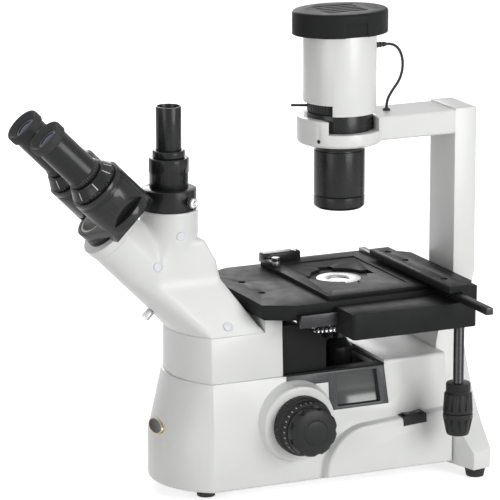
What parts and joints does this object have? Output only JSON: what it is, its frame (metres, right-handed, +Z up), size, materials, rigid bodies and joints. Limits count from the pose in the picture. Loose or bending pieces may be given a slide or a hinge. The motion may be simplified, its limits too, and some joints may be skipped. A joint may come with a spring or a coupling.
{
  "type": "inverted microscope",
  "caption": "Inverted laboratory microscope with inclined binocular head, photo port, mechanical stage, tilted objective turret and overhead lamp on a pillar.",
  "frame": {"origin": "on the bench under the rubber feet, straight below the optical axis of stage and condenser", "axes": "+X to the user's right, where the stage drive is, +Y away from the user towards the lamp pillar, +Z up"},
  "size_m": [0.2876, 0.4503, 0.443],
  "materials": {
    "white_enamel": "semi-gloss enamel",
    "black_enamel": "satin black enamel",
    "dark_plastic": "fine textured",
    "black_plastic": "satin",
    "white_plastic": "matt",
    "rubber": "matt",
    "steel": "ground",
    "chrome": "satin chrome",
    "aluminium": "anodised",
    "badge": "brushed",
    "glass": "coated",
    "mirror": "polished",
    "circuit_board": "lacquered",
    "ceramic": "glazed"
  },
  "bodies": {
    "stand": {"base_shell": "white_enamel", "base_plate": "steel", "rubber_feet": "rubber", "front_column": "white_enamel", "tube_lens": "glass", "deck_plate": "black_enamel", "focus_cover": "black_enamel", "side_bezels": "dark_plastic", "badge_plate": "badge", "fold_mirrors": "mirror", "power_board": "circuit_board", "power_inlet": "black_plastic", "switch_frame": "black_plastic", "focus_guide": "steel", "fixed_stage": "black_enamel", "stage_insert": "aluminium", "stage_guide": "steel", "lamp_pillar": "white_enamel", "lamp_arm": "white_enamel", "lamp_collar": "black_enamel", "lamp_housing": "white_enamel", "lamp_cap": "black_enamel", "lamp_module": "ceramic", "condenser_tube": "black_enamel", "condenser_ring": "black_enamel", "condenser_lenses": "glass", "stand_screws": "steel", "cord_boots": "rubber", "lamp_cord": "rubber", "head_housing": "white_enamel", "head_ring": "white_enamel", "port_plugs": "white_plastic", "dovetail_ring": "black_enamel", "photo_collar": "black_enamel", "photo_tube": "black_enamel"},
    "rocker": {"power_rocker": "black_plastic"},
    "coarse_shaft": {"coarse_knobs": "black_plastic"},
    "fine_shaft": {"fine_knobs": "black_plastic"},
    "coarse_carriage": {"coarse_slide": "steel"},
    "nosepiece": {"nosepiece_arm": "black_enamel"},
    "revolver": {"turret": "chrome", "objectives": "chrome"},
    "stage_y": {"y_carriage": "black_enamel", "guide_bar": "black_enamel"},
    "stage_x": {"x_slide": "steel", "specimen_plate": "black_enamel"},
    "clamp": {"specimen_clamp": "black_enamel"},
    "y_knob": {"y_drive_knob": "black_plastic"},
    "x_knob": {"x_drive_knob": "black_plastic"},
    "iris": {"aperture_lever": "black_enamel"},
    "port_clamp": {"clamp_screw": "steel"},
    "path": {"path_rod": "chrome"},
    "left_box": {"left_prism_box": "black_enamel", "left_eyepiece": "black_enamel", "left_eye_lens": "glass"},
    "right_box": {"right_prism_box": "black_enamel", "right_eyepiece": "black_enamel", "right_eye_lens": "glass"},
    "left_scale": {"left_scale_ring": "black_enamel"},
    "right_scale": {"right_scale_ring": "black_enamel"}
  },
  "joints": [
    {"name": "rocker_tilt", "type": "hinge", "parent": "stand", "child": "rocker", "pos_m": [0.065, 0.046, 0.06333], "axis": [1, 0, 0], "range_deg": [-8, 8]},
    {"name": "coarse_turn", "type": "hinge", "parent": "stand", "child": "coarse_shaft", "pos_m": [0, -0.072, 0.069], "axis": [1, 0, 0], "range_deg": [-28.7, 28.7]},
    {"name": "coarse_lift", "type": "slide", "parent": "stand", "child": "coarse_carriage", "axis": [0, 0, 1], "range_m": [-0.005, 0.005]},
    {"name": "fine_turn", "type": "hinge", "parent": "stand", "child": "fine_shaft", "pos_m": [0, -0.072, 0.069], "axis": [1, 0, 0], "range_deg": [-1800, 1800]},
    {"name": "fine_lift", "type": "slide", "parent": "coarse_carriage", "child": "nosepiece", "axis": [0, 0, 1], "range_m": [-0.001, 0.001]},
    {"name": "turret_turn", "type": "hinge", "parent": "nosepiece", "child": "revolver", "pos_m": [-0.02028, 0, 0.13606], "axis": [-0.2588, 0, 0.9659], "continuous": true},
    {"name": "stage_y_slide", "type": "slide", "parent": "stand", "child": "stage_y", "axis": [0, 1, 0], "range_m": [-0.042, 0.034]},
    {"name": "stage_x_slide", "type": "slide", "parent": "stage_y", "child": "stage_x", "axis": [1, 0, 0], "range_m": [-0.057, 0.057]},
    {"name": "clamp_swing", "type": "hinge", "parent": "stage_x", "child": "clamp", "pos_m": [-0.07, -0.014, 0.194], "axis": [0, 0, 1], "range_deg": [-35, 0]},
    {"name": "y_knob_turn", "type": "hinge", "parent": "stage_y", "child": "y_knob", "pos_m": [0.109, 0.071, 0.09], "axis": [0, 0, 1], "range_deg": [-411.4, 333.1]},
    {"name": "x_knob_turn", "type": "hinge", "parent": "stage_y", "child": "x_knob", "pos_m": [0.109, 0.071, 0.064], "axis": [0, 0, 1], "range_deg": [-558.3, 558.3]},
    {"name": "iris_turn", "type": "hinge", "parent": "stand", "child": "iris", "pos_m": [0, 0, 0.352], "axis": [0, 0, 1], "range_deg": [-30, 40]},
    {"name": "clamp_screw_turn", "type": "hinge", "parent": "stand", "child": "port_clamp", "pos_m": [0, -0.174, 0.28], "axis": [0.9511, 0.309, 0], "range_deg": [0, 360]},
    {"name": "path_pull", "type": "slide", "parent": "stand", "child": "path", "axis": [0, -0.7071, -0.7071], "range_m": [0, 0.01]},
    {"name": "right_box_swing", "type": "hinge", "parent": "stand", "child": "right_box", "pos_m": [0, 0.00975, 0.00975], "axis": [0, -0.7071, 0.7071], "range_deg": [-26.18, 1.4]},
    {"name": "left_box_swing", "type": "hinge", "parent": "stand", "child": "left_box", "pos_m": [0, 0.00975, 0.00975], "axis": [0, -0.7071, 0.7071], "range_deg": [-1.4, 26.18]},
    {"name": "left_scale_turn", "type": "hinge", "parent": "left_box", "child": "left_scale", "pos_m": [-0.0275, 0.02389, 0.02389], "axis": [0, -0.7071, 0.7071], "range_deg": [-150, 150]},
    {"name": "right_scale_turn", "type": "hinge", "parent": "right_box", "child": "right_scale", "pos_m": [0.0275, 0.02389, 0.02389], "axis": [0, -0.7071, 0.7071], "range_deg": [-150, 150]}
  ],
  "couplings": [
    {"joint": "coarse_turn", "follows": "coarse_lift", "rad_per_m": 100},
    {"joint": "fine_turn", "follows": "fine_lift", "rad_per_m": 31415},
    {"joint": "y_knob_turn", "follows": "stage_y_slide", "rad_per_m": 170.94},
    {"joint": "x_knob_turn", "follows": "stage_x_slide", "rad_per_m": 170.94},
    {"joint": "left_box_swing", "follows": "right_box_swing", "ratio": -1}
  ]
}
